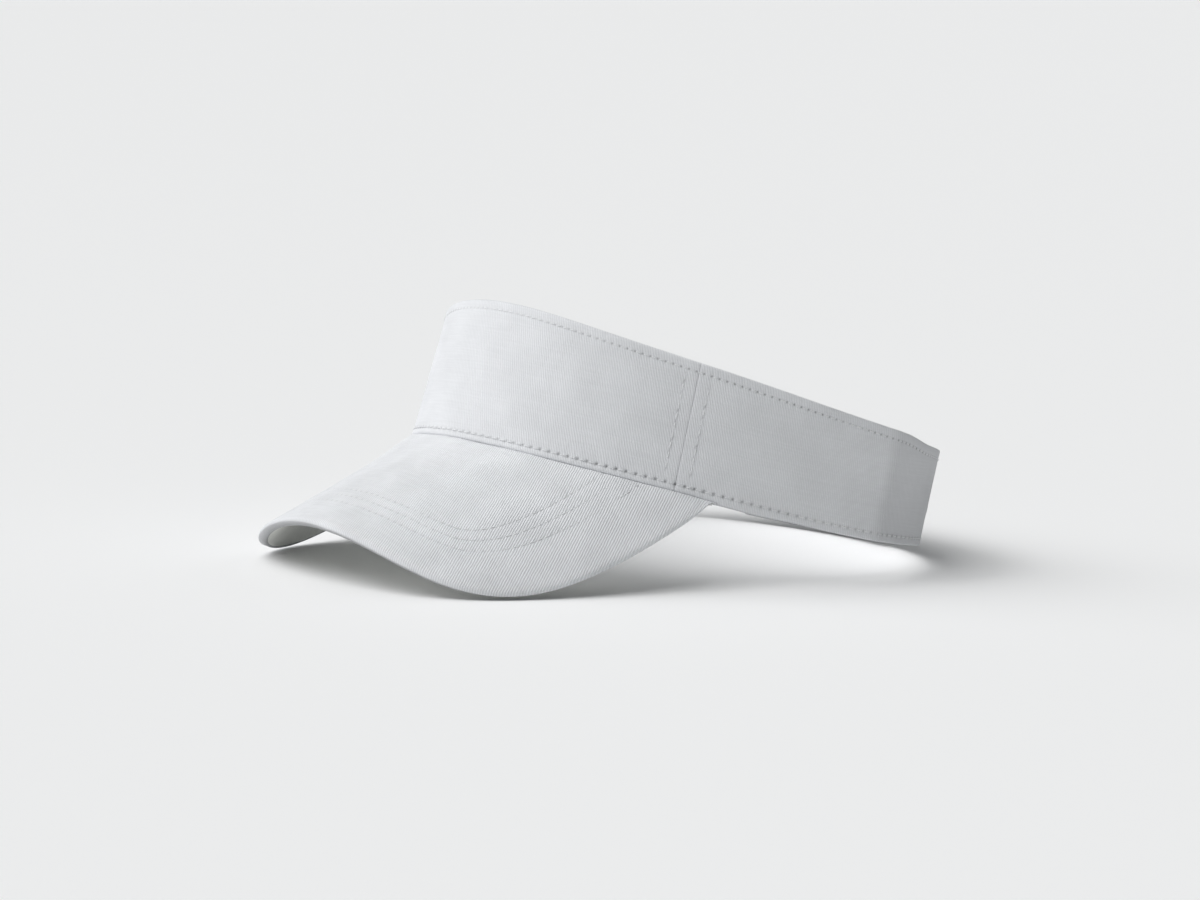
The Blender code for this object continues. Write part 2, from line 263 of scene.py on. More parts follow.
def row_relief(off, phase, pitch, inset, hole_size):
    """What a row of stitches does to cloth: (the valley, the puffed hem, the needle holes).

    off is the distance from the row, negative towards the folded edge inset away.
    phase counts stitches along the row, a whole number at each needle hole.
    """
    along = (phase - np.round(phase)) * pitch
    wave = np.cos(2 * math.pi * phase)
    width = np.where(off > 0, 1.5 * MM, 0.9 * MM)
    valley = -(0.20 + 0.08 * wave) * MM * gauss(off, width)
    hole_and_painted_shade = gauss(np.hypot(off, along), hole_size)
    share = np.clip((off + inset) / inset, 0, 1)
    puff = 0.2 * MM * np.sin(math.pi * share) ** 2 * (0.85 - 0.25 * wave * share) * (off < 0)
    return valley, puff, hole_and_painted_shade


def band_relief(t, h):
    """How far the outer cloth stands out at angle t and height h, and the painted shade at needle
    punctures.
    """
    height = band_height(t)
    u = arc_of(t)
    uneven = 1 + 0.35 * soft_noise(u, 0 * h, 9 * MM, 3)
    pull = uneven * (0.3 + 0.7 * gauss(np.abs(t) - 46 * DEG, 24 * DEG))
    valley, puff, hole_and_painted_shade = row_relief(
        h - LOW_INSET, arc_of(t, ARC_LOW) / LOW_PITCH, LOW_PITCH, LOW_INSET, BIG_HOLE
    )
    out = (valley * 0.6 + puff * 0.7 - 0.5 * MM * hole_and_painted_shade) * pull
    painted_shade_mask = hole_and_painted_shade * np.clip(pull, 0.3, 1)
    valley, puff, hole_and_painted_shade = row_relief(
        height - h - TOP_INSET, arc_of(t, ARC_TOP) / TOP_PITCH, TOP_PITCH, TOP_INSET, SMALL_HOLE
    )
    small = uneven * (0.12 + 0.42 * smooth_step(np.abs(t) / (45 * DEG)))
    out = out + (valley * 0.7 + puff * 0.1 - 0.34 * MM * hole_and_painted_shade) * small
    painted_shade_mask = painted_shade_mask + hole_and_painted_shade * np.clip(small * 1.5, 0, 0.8)
    for sign in (-1, 1):
        off = u - arc_of(sign * SEAM_T)
        wander = 0.75 + 0.25 * soft_noise(h, 0 * h, 3 * MM, 4)
        out = out - 0.2 * MM * wander * np.exp(-np.abs(off) / (0.3 * MM))
        out = out + 0.08 * MM * (1 - smooth_step((np.abs(off) - 3.4 * MM) / (1.6 * MM)))
        inside = smooth_step((h - 3.4 * MM) / MM) * smooth_step((height - 4.2 * MM - h) / MM)
        near = (np.abs(off) < 9 * MM) * inside * 0.4
        valley, _, hole_and_painted_shade = row_relief(
            np.abs(off) - SEAM_OFFSET, h / SEAM_PITCH, SEAM_PITCH, SEAM_OFFSET, SMALL_HOLE
        )
        out = out + (valley * 0.5 - 0.3 * MM * hole_and_painted_shade) * near
        painted_shade_mask = painted_shade_mask + hole_and_painted_shade * near
    out = out + 0.10 * MM * soft_noise(u, h, 14 * MM, 1) + 0.035 * MM * soft_noise(u, h, 4 * MM, 2)
    return out, np.clip(painted_shade_mask, 0, 1)


# ---- bill surface ----

BILL_ROOT = band_at(np.array(0.0), 0.0, 0.0)
BILL_FORWARD = np.array((0, -math.cos(BILL_SLOPE), -math.sin(BILL_SLOPE)))
BILL_UP = np.array((0, -math.sin(BILL_SLOPE), math.cos(BILL_SLOPE)))
SIDEWAYS = np.array((1.0, 0, 0))


def bill_drop(x, s):
    fall = x**2 / (2 * BILL_RADIUS) + BILL_STEEPENING * x**4 / (8 * BILL_RADIUS**3)
    return fall * (1 + BILL_FLARE * s)


def bill_side_slope(x, s):
    slope = x / BILL_RADIUS + BILL_STEEPENING * x**3 / (2 * BILL_RADIUS**3)
    return slope * (1 + BILL_FLARE * s)


def bill_inner(share):
    edge = band_at(share * BILL_CORNER_T, 0 * share, 0 * share) - BILL_ROOT
    x, s = edge[..., 0], edge @ BILL_FORWARD
    return x, s, edge @ BILL_UP + bill_drop(x, s)


def bill_outer(share):
    corner_x, corner_s, _ = bill_inner(np.array(1.0))
    side = np.sin(share * math.pi / 2)
    front = np.maximum(0, np.cos(share * math.pi / 2))
    x = corner_x * side * (1 + BILL_EDGE_SQUARENESS * front**2)
    bulge = front**BILL_EDGE_POWER * (1 + BILL_EDGE_FULLNESS * side**2)
    return x, corner_s + (BILL_LENGTH - corner_s) * bulge


def bill_flat(share, q):
    """Place on the flat bill pattern, and how far the cloth there is lifted to meet the band."""
    x0, s0, lift = bill_inner(share)
    x1, s1 = bill_outer(share)
    return x0 + (x1 - x0) * q, s0 + (s1 - s0) * q, lift * (1 - q) ** 2


def bill_at(share, q, depth):
    x, s, lift = bill_flat(share, q)
    surface = BILL_ROOT + SIDEWAYS * x[..., None] + BILL_FORWARD * s[..., None]
    surface = surface + BILL_UP * (lift - bill_drop(x, s))[..., None]
    return surface - bill_normal(x, s) * np.asarray(depth)[..., None]


def bill_normal(x, s):
    return unit(BILL_UP + SIDEWAYS * bill_side_slope(x, s)[..., None])


EDGE_SHARES = np.linspace(-1, 1, 401)
BILL_EDGE = np.stack(bill_outer(EDGE_SHARES), -1)


def nearest_on(line, x, s):
    """Distance on the flat pattern to a line of points, and where along it the nearest place is.

    The second result counts in points of the line, with fractions between them.
    """
    points = np.stack([np.ravel(x), np.ravel(s)], -1)
    distance, place = np.full(len(points), np.inf), np.zeros(len(points))
    for start in range(0, len(points), 8000):
        part = points[start : start + 8000]
        gap = (part[:, :1] - line[:, 0]) ** 2 + (part[:, 1:] - line[:, 1]) ** 2
        near = gap.argmin(1)
        for step in (-1, 0):
            first = np.clip(near + step, 0, len(line) - 2)
            a, run = line[first], line[first + 1] - line[first]
            along = np.clip(((part - a) * run).sum(1) / (run**2).sum(1), 0, 1)
            off = np.linalg.norm(part - a - run * along[:, None], axis=1)
            better = off < distance[start : start + 8000]
            distance[start : start + 8000][better] = off[better]
            place[start : start + 8000][better] = (first + along)[better]
    return distance.reshape(np.shape(x)), place.reshape(np.shape(x))


def edge_distance(x, s):
    """Distance on the flat pattern to the bill's outer edge."""
    return nearest_on(BILL_EDGE, x, s)[0]


def edge_arc(share):
    """Length along the bill's outer edge from its middle."""
    steps = np.linalg.norm(np.diff(BILL_EDGE, axis=0), axis=1)
    arc = np.concatenate([[0], np.cumsum(steps)])
    return np.interp(share, EDGE_SHARES, arc - arc[-1] / 2)


class BillGrid:
    """Spokes across the bill, on which a distance from the outer edge can be looked up."""

    def __init__(self, step):
        table = np.linspace(-BILL_CORNER_CUT, BILL_CORNER_CUT, 2001)
        arc = edge_arc(table)
        count = round((arc[-1] - arc[0]) / step)
        self.share = np.interp(np.linspace(arc[0], arc[-1], count), arc, table)
        samples = np.linspace(0, 1, 81)[:, None] + 0 * self.share
        x, s, _ = bill_flat(self.share + 0 * samples, samples)
        self.distance = np.maximum.accumulate(edge_distance(x, s)[::-1], axis=0)
        self.samples = samples[::-1, 0]
        ends = np.array(bill_outer(self.share)) - np.array(bill_inner(self.share)[:2])
        self.length = np.linalg.norm(ends, axis=0)

    def q_at(self, inset):
        """The place on every spoke that is so far inside the outer edge, 0 where none is.

        inset is one number or one for each spoke, and is negative outside the edge.
        """
        inset = inset + 0 * self.share
        within = [
            np.interp(max(i, 0.0), d, self.samples, right=0.0)
            for i, d in zip(inset, self.distance.T)
        ]
        per_q = np.maximum(self.distance[4] / (1 - self.samples[4]), 0.5 * MM)
        return np.array(within) + np.maximum(-inset, 0) / per_q


# ---- meshes ----


def grid_faces(rows, columns, first):
    i, j = np.mgrid[0 : rows - 1, 0 : columns - 1]
    corner = first + i * columns + j
    quads = np.stack([corner, corner + 1, corner + columns + 1, corner + columns], -1)
    return quads.reshape(-1, 4)


def zipped(here, there):
    """Triangles between two rows of points that run side by side, however many each has."""
    faces, i, j = [], 0, 0
    while i < len(here) - 1 or j < len(there) - 1:
        next_i = (i + 1) / (len(here) - 1)
        next_j = (j + 1) / (len(there) - 1)
        if j == len(there) - 1 or (i < len(here) - 1 and next_i <= next_j):
            faces.append((here[i], here[i + 1], there[j]))
            i += 1
        else:
            faces.append((here[i], there[j + 1], there[j]))
            j += 1
    return np.array(faces)


def signed_volume(points, groups):
    points, total = points - points.mean(0), 0.0
    for faces in groups:
        a = points[faces[:, 0]]
        for k in range(1, faces.shape[1] - 1):
            side = np.cross(points[faces[:, k]], points[faces[:, k + 1]])
            total += np.einsum("ij,ij->i", a, side).sum()
    return total


def new_object(name, points, groups, uvs, material, sharp=50):
    """A smooth mesh object, facing outwards. groups are arrays of faces, each of one size.

    uvs holds pattern coordinates in metres, one for each point.
    """
    if signed_volume(points, groups) < 0:
        groups = [faces[:, ::-1] for faces in groups]
    corners = np.concatenate([faces.ravel() for faces in groups]).astype(np.int32)
    sizes = np.concatenate([np.full(len(faces), faces.shape[1]) for faces in groups])
    starts = np.concatenate([[0], np.cumsum(sizes)[:-1]]).astype(np.int32)
    mesh = bpy.data.meshes.new(name)
    mesh.vertices.add(len(points))
    mesh.loops.add(len(corners))
    mesh.polygons.add(len(sizes))
    mesh.vertices.foreach_set("co", points.astype(np.float32).ravel())
    mesh.loops.foreach_set("vertex_index", corners)
    mesh.polygons.foreach_set("loop_start", starts)
    mesh.update(calc_edges=True)
    layer = mesh.uv_layers.new(name="pattern")
    layer.data.foreach_set("uv", uvs[corners].astype(np.float32).ravel())
    mesh.shade_smooth()
    mesh.set_sharp_from_angle(angle=sharp * DEG)
    mesh.materials.append(material)
    obj = bpy.data.objects.new(name, mesh)
    bpy.context.scene.collection.objects.link(obj)
    return obj


def add_attribute(obj, name, values):
    attribute = obj.data.attributes.new(name, "FLOAT", "POINT")
    attribute.data.foreach_set("value", values.astype(np.float32))


def cloth(name, face, face_uv, back, back_uv, material, hole_and_painted_shade=None, sharp=50):
    """A closed sheet between two grids of points, face outside and back inside.

    Row by row the grids run the same way, but they can have different numbers of points.
    """
    (rows, columns), (back_rows, back_columns) = face.shape[:2], back.shape[:2]
    offset = rows * columns
    front = np.arange(offset).reshape(rows, columns)
    rear = offset + np.arange(back_rows * back_columns).reshape(back_rows, back_columns)
    quads = [grid_faces(rows, columns, 0), grid_faces(back_rows, back_columns, offset)[:, ::-1]]
    rims = [
        zipped(front[0], rear[0])[:, ::-1],
        zipped(front[-1], rear[-1]),
        zipped(front[:, 0], rear[:, 0]),
        zipped(front[:, -1], rear[:, -1])[:, ::-1],
    ]
    points = np.concatenate([face.reshape(-1, 3), back.reshape(-1, 3)])
    uvs = np.concatenate([face_uv.reshape(-1, 2), back_uv.reshape(-1, 2)])
    obj = new_object(name, points, quads + rims, uvs, material, sharp)
    # The face's mask is painted shade: it darkens the twill at the needle punctures, folds and rim.
    painted_shade_mask = np.zeros(len(points))
    if hole_and_painted_shade is not None:
        painted_shade_mask[:offset] = hole_and_painted_shade.ravel()
    add_attribute(obj, "hole_and_painted_shade", painted_shade_mask)
    return obj


def grid_uv(u, v):
    return np.stack([u + 0 * v, v + 0 * u], -1)


# ---- materials ----


class Shader:
    """Shorthand for building one procedural material from nodes."""

    def __init__(self, name, roughness, sheen=0.0, specular=0.25):
        self.material = bpy.data.materials.new(name)
        self.material.use_nodes = True
        self.tree = self.material.node_tree
        self.surface = self.tree.nodes["Principled BSDF"]
        self.surface.inputs["Roughness"].default_value = roughness
        self.surface.inputs["Specular IOR Level"].default_value = specular
        self.surface.inputs["Sheen Weight"].default_value = sheen
        self.surface.inputs["Sheen Roughness"].default_value = 0.6

    @functools.cached_property
    def pattern(self):
        """Pattern coordinates in millimetres."""
        scale = {0: self.add("ShaderNodeUVMap", uv_map="pattern").outputs[0], 3: 1000.0}
        return self.add("ShaderNodeVectorMath", scale, operation="SCALE").outputs[0]

    def add(self, kind, inputs=(), **settings):
        node = self.tree.nodes.new(kind)
        for key, value in settings.items():
            setattr(node, key, value)
        for key, value in dict(inputs).items():
            if isinstance(value, bpy.types.NodeSocket):
                self.tree.links.new(value, node.inputs[key])
            else:
                node.inputs[key].default_value = value
        return node

    def math(self, operation, *values, clamp=False):
        inputs = dict(enumerate(values))
        return self.add("ShaderNodeMath", inputs, operation=operation, use_clamp=clamp).outputs[0]

    def sine(self, turns):
        return self.math("SINE", self.math("MULTIPLY", turns, 2 * math.pi))

    def wave(self, turns):
        """A sine between 0 and 1."""
        return self.math("MULTIPLY_ADD", self.sine(turns), 0.5, 0.5)

    def along(self, direction):
        inputs = {0: self.pattern, 1: (*direction, 0.0)}
        return self.add("ShaderNodeVectorMath", inputs, operation="DOT_PRODUCT").outputs["Value"]

    def noise(self, scale, detail=2.0, roughness=0.5, vector=None):
        inputs = {"Scale": scale, "Detail": detail, "Roughness": roughness}
        inputs["Vector"] = vector or self.pattern
        return self.add("ShaderNodeTexNoise", inputs).outputs[0]

    def stretch(self, value, low, high, to_low=0.0, to_high=1.0):
        inputs = {0: value, 1: low, 2: high, 3: to_low, 4: to_high}
        return self.add("ShaderNodeMapRange", inputs).outputs[0]

    def patches(self, scale, detail=3.0):
        return self.stretch(self.noise(scale, detail), 0.3, 0.7)

    def tone(self, patch, share, height, by):
        return self.math(
            "MULTIPLY_ADD", patch, share, self.math("MULTIPLY", height, by), clamp=True
        )

    def blend(self, share, a, b):
        """Colour between a and b."""
        a, b = ((*c, 1.0) if isinstance(c, tuple) else c for c in (a, b))
        return self.add("ShaderNodeMix", {0: share, 6: a, 7: b}, data_type="RGBA").outputs[2]

    def finish(self, colour, height, depth, roughness):
        """Links the colour, the bump (depth in metres) and the roughness."""
        links = self.tree.links
        links.new(colour, self.surface.inputs["Base Color"])
        bump = self.add("ShaderNodeBump", {"Height": height, "Strength": 1.0, "Distance": depth})
        links.new(bump.outputs[0], self.surface.inputs["Normal"])
        links.new(roughness, self.surface.inputs["Roughness"])
        return self.material


def scaled(colour, by):
    return tuple(min(1.0, c * by) for c in colour)


def twill(name, colour, wale_deg, period, contrast, depth):
    """Cotton twill: slanting wales of short yarn floats, with slubs and uneven whiteness."""
    s = Shader(name, 0.88, sheen=0.12)
    across = (math.sin(wale_deg * DEG), math.cos(wale_deg * DEG))
    wander = s.math("MULTIPLY", s.noise(0.35), 0.5)
    wale = s.math("ADD", s.math("DIVIDE", s.along(across), period), wander)
    step = s.math("MULTIPLY", s.math("FLOOR", wale), 0.5)
    along = s.math("DIVIDE", s.along((across[1], -across[0])), 0.95)
    floats = s.wave(s.math("ADD", along, step))
    height = s.math("MULTIPLY", s.wave(wale), s.math("MULTIPLY_ADD", floats, 0.14, 0.86))
    height = s.math("ADD", height, s.math("MULTIPLY", s.noise(3.2, 3.0, 0.65), 0.3))
    # Slubs: thicker yarns that show as faint streaks along the weft.
    streaks = s.add("ShaderNodeMapping", {0: s.pattern, 3: (0.05, 1.6, 1.0)}, vector_type="POINT")
    slub = s.stretch(s.noise(1.0, vector=streaks.outputs[0]), 0.35, 0.75)
    tone = s.math("MULTIPLY_ADD", s.patches(0.06), 0.35, s.math("MULTIPLY", slub, 0.2))
    tone = s.math("ADD", tone, s.math("MULTIPLY", height, 0.45), clamp=True)
    shown = s.blend(tone, scaled(colour, 1 - contrast), scaled(colour, 1 + contrast * 0.4))
    # Painted shade: this mask darkens the colour at the needle punctures, along the lower folds,
    # towards the straps' fold and along the bill's rim.
    hole_and_painted_shade = s.add("ShaderNodeAttribute", attribute_name="hole_and_painted_shade").outputs["Fac"]
    dark = s.math("MULTIPLY", s.math("POWER", hole_and_painted_shade, 0.8), 0.92, clamp=True)
    shown = s.blend(dark, shown, scaled(colour, 0.16))
    return s.finish(shown, height, depth, s.stretch(height, 0.0, 1.3, 0.95, 0.8))


def plain_weave(name, colour, period, depth, contrast=0.08):
    """Plain weave: warp over weft, each thread a rounded bar."""
    s = Shader(name, 0.9, sheen=0.1)
    wander = s.math("MULTIPLY", s.noise(0.5), 0.4)
    waves = []
    for direction in ((1.0, 0.0), (0.0, 1.0)):
        waves.append(s.sine(s.math("ADD", s.math("DIVIDE", s.along(direction), period), wander)))
    over = s.math("MULTIPLY_ADD", s.math("MULTIPLY", *waves), 0.5, 0.5)
    threads = s.math("MAXIMUM", s.math("ABSOLUTE", waves[0]), s.math("ABSOLUTE", waves[1]))
    height = s.math("MULTIPLY_ADD", over, 0.5, s.math("MULTIPLY", threads, 0.5))
    height = s.math("ADD", height, s.math("MULTIPLY", s.noise(4.0), 0.3))
    tone = s.tone(s.patches(0.08), 0.4, height, 0.6)
    shown = s.blend(tone, scaled(colour, 1 - contrast), colour)
    return s.finish(shown, height, depth, s.stretch(tone, 0, 1, 0.95, 0.85))


def looped(name, colour, scale, depth, contrast):
    """Towelling or loop tape: a nap of small curled loops."""
    s = Shader(name, 0.95, sheen=0.25, specular=0.15)
    cells = {"Vector": s.pattern, "Scale": scale, "Randomness": 0.9}
    cell = s.add("ShaderNodeTexVoronoi", cells, feature="SMOOTH_F1").outputs["Distance"]
    fuzz = s.math("MULTIPLY", s.noise(scale * 2.6, 3.0, 0.7), 0.5)
    height = s.math("ADD", s.math("SUBTRACT", 1.0, cell), fuzz)
    tone = s.tone(s.patches(0.09), 0.35, height, 0.45)
    shown = s.blend(tone, scaled(colour, 1 - contrast), colour)
    return s.finish(shown, height, depth, s.stretch(tone, 0, 1, 1.0, 0.88))


def foam_finish():
    s = Shader("open_cell_foam", 0.95, specular=0.15)
    cells = {"Vector": s.pattern, "Scale": 1.7}
    cell = s.add("ShaderNodeTexVoronoi", cells).outputs["Distance"]
    tone = s.tone(s.patches(0.07, 2.0), 0.5, cell, 0.6)
    shown = s.blend(tone, (0.60, 0.58, 0.50), (0.80, 0.78, 0.70))
    return s.finish(shown, cell, 0.25 * MM, s.stretch(tone, 0, 1, 0.98, 0.9))


def plastic_finish():
    s = Shader("moulded_board", 0.4, specular=0.5)
    s.pattern = s.add("ShaderNodeTexCoord").outputs["Object"]
    grain = s.noise(2500.0)
    shown = s.blend(s.patches(45.0), (0.78, 0.79, 0.79), (0.87, 0.88, 0.88))
    return s.finish(shown, grain, 0.02 * MM, s.stretch(grain, 0.3, 0.7, 0.34, 0.48))


def thread_finish():
    """Twisted sewing thread: u runs round it, v along it."""
    s = Shader("sewing_thread", 0.55, sheen=0.1, specular=0.4)
    ply = s.math("SINE", s.math("MULTIPLY", s.along((1.0, 1.0)), 2 * math.pi / 0.42))
    ply = s.math("MULTIPLY_ADD", ply, 0.5, 0.5)
    height = s.math("ADD", ply, s.math("MULTIPLY", s.noise(6.0), 0.3))
    tone = s.tone(s.patches(0.2, 2.0), 0.3, height, 0.6)
    shown = s.blend(tone, (0.74, 0.75, 0.77), (0.88, 0.885, 0.90))
    return s.finish(shown, height, 0.05 * MM, s.stretch(tone, 0, 1, 0.65, 0.5))


WHITE = (0.82, 0.83, 0.855)
TWILL = twill("band_twill", WHITE, 68.0, 0.85, 0.15, 0.10 * MM)
# Painted shade: the straps' twill is the band's twill made darker, for the shade where the band
# turns past the fold.
SHADED_STRAP_TWILL = twill("strap_twill_painted_shade", scaled(WHITE, 0.88), 68.0, 0.85, 0.15, 0.10 * MM)
BILL_TWILL = twill("bill_twill", scaled(WHITE, 1.045), 65.5, 0.80, 0.22, 0.16 * MM)
UNDER_TWILL = twill("bill_underside_twill", (0.90, 0.91, 0.87), 65.5, 0.80, 0.22, 0.16 * MM)
LINING = plain_weave("lining_cotton", (0.76, 0.77, 0.79), 0.55, 0.05 * MM)
BUCKRAM = plain_weave("buckram_mesh", (0.68, 0.67, 0.62), 1.1, 0.2 * MM, 0.35)
TOWELLING = looped("towelling_loops", (0.80, 0.81, 0.82), 1.15, 0.35 * MM, 0.16)
LOOPS = looped("loop_tape_nap", (0.77, 0.78, 0.79), 1.6, 0.3 * MM, 0.2)
HOOK_BASE = plain_weave("hook_tape_base", (0.76, 0.77, 0.78), 0.5, 0.06 * MM, 0.12)
FOAM = foam_finish()
BOARD = plastic_finish()
THREAD = thread_finish()


# ---- what each piece stands for ----


def place(obj, body, slot, *nodes):
    """Puts a piece on the body it rides on and hides the nodes that it stands for; slot, what it is
    made of, is not used.
    """
    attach(obj, body)
    if nodes:
        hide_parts(*nodes)


def declare(obj, nodes, body="crown"):
    """Puts a sheet of cloth on its body, if it has one, and hides the nodes that it stands for."""
    if body:
        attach(obj, body)
    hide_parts(*nodes)


# ---- band panels ----


def at(value, t):
    """A length that is the same all round, or a function of the angle."""
    return value(t) if callable(value) else value + 0 * t


def lining_depth(t):
    beyond = (np.abs(t) - SEAM_T) / (8 * DEG)
    return LINING_FRONT + (LINING_SIDE - LINING_FRONT) * smooth_step(beyond)


def wall_thickness(t):
    return lining_depth(t) + LINING_THICK


def panel_hem(t):
    """The side panels' lower edge: it hangs a little lower just past the bill's corner."""
    t = np.abs(t)
    starts = smooth_step((t - BILL_CORNER_T + 0.8 * DEG) / (1.5 * DEG))
    return -0.6 * MM * starts * (1 - smooth_step((t - 76 * DEG) / (14 * DEG)))


def crease_shade(t):
    """Painted shade: greys the side panels towards the fold, up to the darker colour painted on the
    straps.
    """
    return 0.103 * smooth_step(1 - (CREASE_T - np.abs(t)) / (3.5 * DEG))


def right_strap_hem(t):
    """The right strap is a little narrower than the left one, which covers it."""
    return 0.8 * MM * smooth_step((np.abs(t) - 115 * DEG) / (25 * DEG))


FOLD_TURN = np.linspace(0, math.pi, 9)
# Mesh rows near the bottom and top edges, closest together at the stitches.
FINE_ROWS = np.arange(-1.0, 1.3, 0.25) * MM
LOW_ROWS = np.concatenate([[1.35 * MM], LOW_INSET + FINE_ROWS, [4.6 * MM, 5.6 * MM]])
TOP_ROWS = np.concatenate([[1.7 * MM], TOP_INSET + FINE_ROWS, [5.2 * MM, 6.4 * MM]])


def outer_rows(span):
    shrink = np.clip(span / (30 * MM), 0.2, 1)  # keeps rows in order on a rounded end
    start, end = LOW_ROWS[-1] * shrink, span - TOP_ROWS[-1] * shrink
    rows = [h * shrink for h in LOW_ROWS]
    rows += [start + (end - start) * share for share in np.linspace(0, 1, 27)[1:-1]]
    return rows + [span - h * shrink for h in TOP_ROWS[::-1]]


def inner_rows(span):
    return [span * share for share in np.linspace(0.08, 0.92, 8)]


def wrapped_panel(
    name, t, total, thick, material, depth=0.0, cut=0.0, hem=0.0, shade=0.0, wrap=0.6 * MM
):
    """A cloth panel that folds over the top and bottom edges of the band to the inside.

    total is the band's whole thickness at each angle and thick the cloth's own. cut gives how
    much is cut away at the bottom and top edges at each angle, hem how far the bottom edge
    alone is raised, and shade how much painted shade darkens the cloth.
    """
    depth, cut, hem, height = at(depth, t), at(cut, t), at(hem, t), band_height(t)
    half = total(t) / 2
    fold = np.minimum(half, FOLD_HEIGHT)

    def path(inset, heights):
        """Rows of (height, depth, how much relief shows) from inside bottom to inside top."""
        turns = [
            (
                fold - (fold - inset) * math.sin(turn),
                half - (half - inset) * math.cos(turn),
                0 * t + max(0.0, math.cos(turn)) ** 2,
            )
            for turn in FOLD_TURN
        ]
        rows = [(cut + hem + fold + wrap, 2 * half - inset, 0 * t)]
        rows += [(cut + hem + bend, across, shows) for bend, across, shows in turns[::-1]]
        rows += [(cut + hem + h, 0 * t + inset, 0 * t + 1) for h in heights(height - 2 * cut - hem)]
        rows += [(height - cut - bend, across, shows) for bend, across, shows in turns]
        rows.append((height - cut - fold - wrap, 2 * half - inset, 0 * t))
        return [np.array(x) for x in zip(*rows)]

    h, across, shows = path(0.0, outer_rows)
    out, hole_and_painted_shade = band_relief(t + 0 * h, h)
    face = band_at(t + 0 * h, h, out * shows - across - depth)
    steps = np.linalg.norm(np.diff(face, axis=0), axis=2)
    v = np.concatenate([0 * t[None], np.cumsum(steps, axis=0)])
    v = v - v[len(FOLD_TURN)] + FOLD_HEIGHT + hem
    some = np.unique(np.append(np.arange(0, len(t), 4), len(t) - 1))
    h2, across2, _ = path(thick, inner_rows)
    back = band_at(t + 0 * h2, h2, -across2 - depth)[:, some]
    back_uv = grid_uv(arc_of(t), h2)[:, some]
    # The lower fold is darkened in colour: painted shade under the folded edge.
    painted_shade = np.zeros((len(h), 1))
    painted_shade[1 : len(FOLD_TURN)] = 0.3 * np.sin(FOLD_TURN[1:])[:, None]
    painted_shade = painted_shade + at(shade, t)
    return cloth(name, face, grid_uv(arc_of(t), v), back, back_uv, material, hole_and_painted_shade * shows + painted_shade)


def band_sheet(name, t, low, high, depth, thick, material, rough=0.0):
    """A plain sheet on the inside of the band, its long edges slightly rounded."""
    share = np.concatenate([[0, 0.008, 0.02], np.linspace(0.05, 0.95, 20), [0.98, 0.992, 1]])
    low, high, depth = at(low, t), at(high, t), at(depth, t)
    h = low + (high - low) * share[:, None]
    edge = np.minimum(share, 1 - share)[:, None] * (high - low)
    rounding = np.clip(1 - edge / (0.5 * thick), 0, 1) ** 2 * 0.42 * thick
    uv = grid_uv(arc_of(t), h)
    wave = rough * soft_noise(uv[..., 0], h, 6 * MM, 5)
    inner = band_at(t + 0 * h, h, -(depth + thick) - wave + rounding)
    outer = band_at(t + 0 * h, h, -depth - wave - rounding)
    return cloth(name, inner, uv, outer, uv, material)


def band_panels():
    gap = 0.05 * MM / BAND_HALF_WIDTH
    t = columns_between(-SEAM_T + gap, SEAM_T - gap)
    front = wrapped_panel("front_panel_cloth", t, wall_thickness, CLOTH, TWILL)
    declare(front, ["front_panel"])
    for side, sign in SIDES:
        t = columns_between(sign * (SEAM_T + gap), sign * CREASE_T)
        panel = wrapped_panel(
            f"side_panel_{side}_cloth", t, wall_thickness, CLOTH, TWILL, hem=panel_hem,
            shade=crease_shade,
        )
        node, lining = f"side_panel_{side}", f"side_lining_{side}_cloth"
        declare(panel, [node])


def inner_layers():
    edge = SEAM_T - 0.3 * DEG
    t = columns_between(-edge, edge, 1.2 * MM)
    buckram = band_sheet(
        "front_panel_buckram", t, 2.4 * MM, lambda t: band_height(t) - 2.4 * MM, 1.0 * MM,
        1.0 * MM, BUCKRAM,
    )
    declare(buckram, ["front_interlining"])

    def lining(name, t):
        def high(t):
            return band_height(t) - 1.75 * MM

        return band_sheet(
            name, t, 1.9 * MM, high, lining_depth, LINING_THICK, LINING, rough=0.05 * MM
        )

    front = lining("front_lining_cloth", t)
    declare(front, ["front_lining"])
    for side, sign in SIDES:
        t = columns_between(sign * (SEAM_T - 0.1 * DEG), sign * CREASE_T, 1.2 * MM)
        inner = lining(f"side_lining_{side}_cloth", t)
        node, panel = f"side_lining_{side}", f"side_panel_{side}_cloth"
        declare(inner, [node])


# ---- bill ----


def spokes(grid, insets, count):
    """q on every spoke: evenly out from the band, then at given distances from the edge."""
    outer = np.array([grid.q_at(inset) for inset in insets])
    inner = outer[0] * np.linspace(0, 1, count)[:-1, None] ** 0.9
    q = np.concatenate([inner, outer])
    return np.maximum(q, 0.001 * np.arange(len(q))[:, None])


def bill_relief(x, s, strength):
    """How far the bill's cloth stands out, and the painted shade at needle punctures, on the flat
    pattern.
    """
    distance = edge_distance(x, s)
    out = 0.12 * MM * soft_noise(x, s, 16 * MM, 21) + 0.04 * MM * soft_noise(x, s, 5 * MM, 22)
    painted_shade_mask = 0 * x
    for inset in BILL_INSETS:
        phase = row_phase(x, s, inset)
        valley, _, hole_and_painted_shade = row_relief(distance - inset, phase, BILL_PITCH, 4 * MM, SMALL_HOLE)
        uneven = strength * (1 + 0.5 * soft_noise(phase * BILL_PITCH, 0 * x + inset, 11 * MM, 23))
        out = out + (valley * 0.26 - 0.13 * MM * hole_and_painted_shade) * uneven
        painted_shade_mask = painted_shade_mask + hole_and_painted_shade * uneven * 0.22
    return out, np.clip(painted_shade_mask, 0, 1)


def cover_uv(x, s):
    return np.stack([x * (1 + x**2 / (6 * BILL_RADIUS**2)), -s], -1)


def from_band(share, x, s):
    x0, s0, _ = bill_inner(share)
    return np.hypot(x - x0, s - s0)


